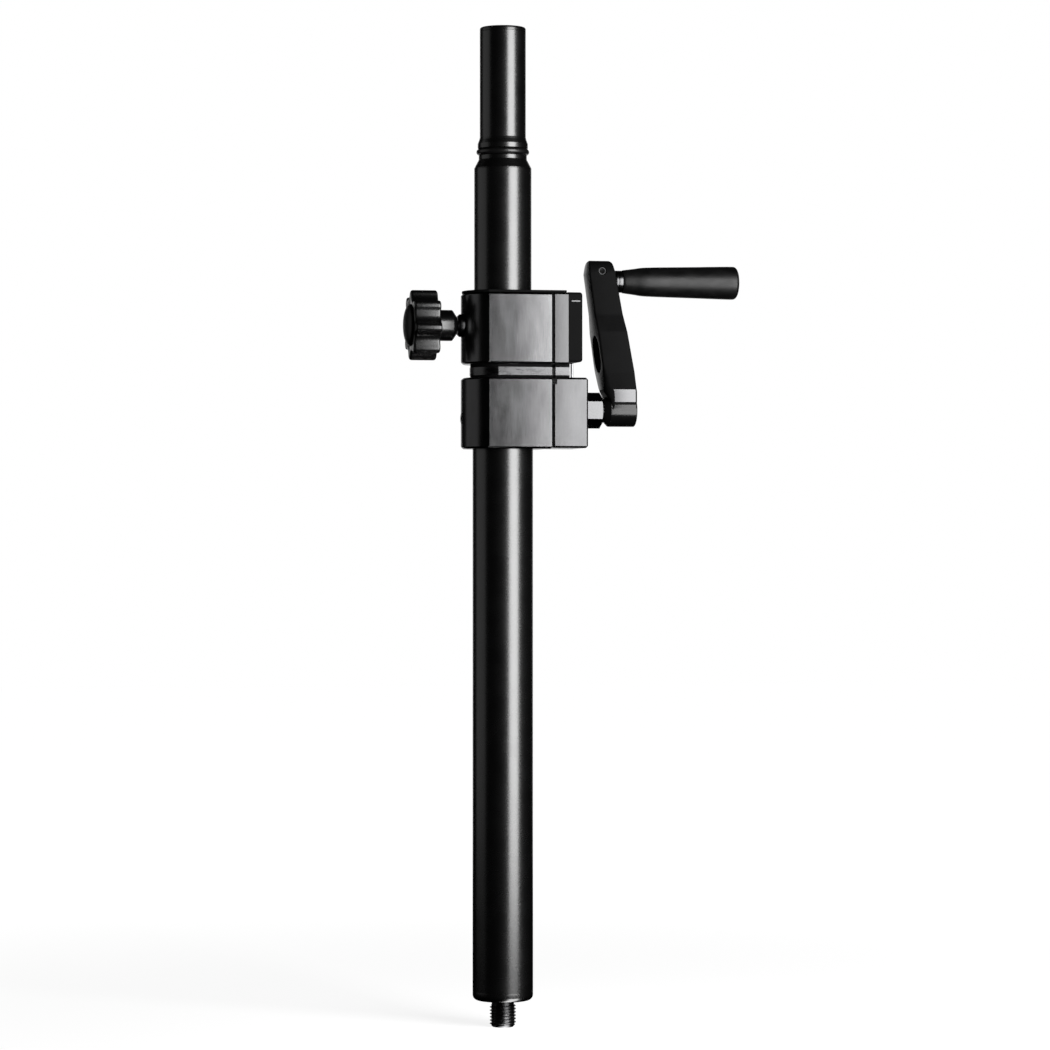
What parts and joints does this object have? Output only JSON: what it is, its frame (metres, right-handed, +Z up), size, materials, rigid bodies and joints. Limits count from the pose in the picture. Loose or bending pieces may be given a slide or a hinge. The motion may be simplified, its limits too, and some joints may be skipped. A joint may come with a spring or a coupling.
{
  "type": "speaker pole",
  "caption": "Black telescopic pole that carries a loudspeaker above a subwoofer, threaded stud below, round spigot on top, raised by a side crank with a rope winch and held by a lock knob.",
  "frame": {"origin": "centre of the lower end face of the threaded stud", "axes": "+Z up the pole, +X towards the crank, -Y towards the person who turns it"},
  "size_m": [0.262, 0.0552, 0.7603],
  "materials": {
    "tube_coat": "satin black coat on steel tube",
    "block_coat": "brushed dark coat on machined aluminium",
    "arm_coat": "matt black coat",
    "dark_steel": "blackened steel",
    "bright_steel": "bright steel",
    "brass_parts": "turned",
    "nylon": "moulded",
    "black_plastic": "moulded, satin",
    "grip_plastic": "moulded, satin",
    "black_rubber": "matt"
  },
  "bodies": {
    "base": {"threaded_stud": "dark_steel", "tube_end_plug": "tube_coat", "stop_buffer": "black_rubber", "lower_tube": "tube_coat", "lower_block": "block_coat", "drum_housing": "block_coat", "housing_screw_1": "dark_steel", "housing_screw_2": "dark_steel", "housing_screw_3": "dark_steel", "housing_screw_4": "dark_steel", "tube_lock_screw": "dark_steel", "hex_bearing": "dark_steel", "drum_end_bush": "brass_parts", "neck_collar": "block_coat", "upper_block": "block_coat", "pulley_bracket": "block_coat", "bracket_screw_1": "dark_steel", "bracket_screw_2": "dark_steel", "bracket_screw_3": "dark_steel", "bracket_screw_4": "dark_steel", "pulley_cover": "black_plastic", "top_plate": "black_plastic", "top_plate_screw_1": "dark_steel", "top_plate_screw_2": "dark_steel", "top_plate_screw_3": "dark_steel", "top_plate_screw_4": "dark_steel", "top_guide_bush": "nylon", "pulley_axle": "bright_steel", "rope_outer_run": "bright_steel", "rope_inner_run": "bright_steel", "lock_insert": "dark_steel"},
    "mast": {"mast_tube": "tube_coat", "mast_foot": "nylon", "rope_ferrule": "brass_parts", "head_adapter": "tube_coat", "head_o_ring": "black_rubber", "spigot_end_cap": "black_plastic"},
    "pulley": {"rope_pulley": "nylon"},
    "crank": {"crank_shaft": "bright_steel", "rope_drum": "dark_steel", "drum_rope": "bright_steel", "brake_lining": "black_rubber", "crank_arm": "arm_coat", "crank_washer": "bright_steel", "crank_screw": "dark_steel", "handle_roll_pin": "bright_steel", "handle_pin": "bright_steel", "grip_washer": "bright_steel", "grip_screw": "dark_steel"},
    "grip": {"handle_grip": "grip_plastic"},
    "lock_pad": {"lock_pad": "brass_parts"},
    "lock_knob": {"lock_screw": "bright_steel", "lock_knob": "black_plastic", "knob_cap": "black_plastic"}
  },
  "joints": [
    {"name": "crank_turn", "type": "hinge", "parent": "base", "child": "crank", "pos_m": [0.07, 0.0093, 0.4695], "axis": [1, 0, 0], "range_deg": [0, 2155]},
    {"name": "mast_lift", "type": "slide", "parent": "base", "child": "mast", "axis": [0, 0, 1], "range_m": [0, 0.35], "deforming": ["rope_inner_run"]},
    {"name": "pulley_turn", "type": "hinge", "parent": "base", "child": "pulley", "pos_m": [0.0371, 0, 0.5324], "axis": [0, 1, 0], "range_deg": [0, 1200]},
    {"name": "grip_spin", "type": "hinge", "parent": "crank", "child": "grip", "pos_m": [0.14, 0.0093, 0.5687], "axis": [1, 0, 0], "continuous": true},
    {"name": "lock_slide", "type": "slide", "parent": "base", "child": "lock_pad", "axis": [-1, 0, 0], "range_m": [0, 0.0026]},
    {"name": "knob_turn", "type": "hinge", "parent": "lock_pad", "child": "lock_knob", "pos_m": [-0.06, 0, 0.5331], "axis": [-1, 0, 0], "range_deg": [0, 720]}
  ],
  "couplings": [
    {"joint": "mast_lift", "follows": "crank_turn", "m_per_rad": 0.0093},
    {"joint": "pulley_turn", "follows": "crank_turn", "ratio": 0.55357},
    {"joint": "lock_slide", "follows": "knob_turn", "m_per_rad": 0.00019894}
  ]
}
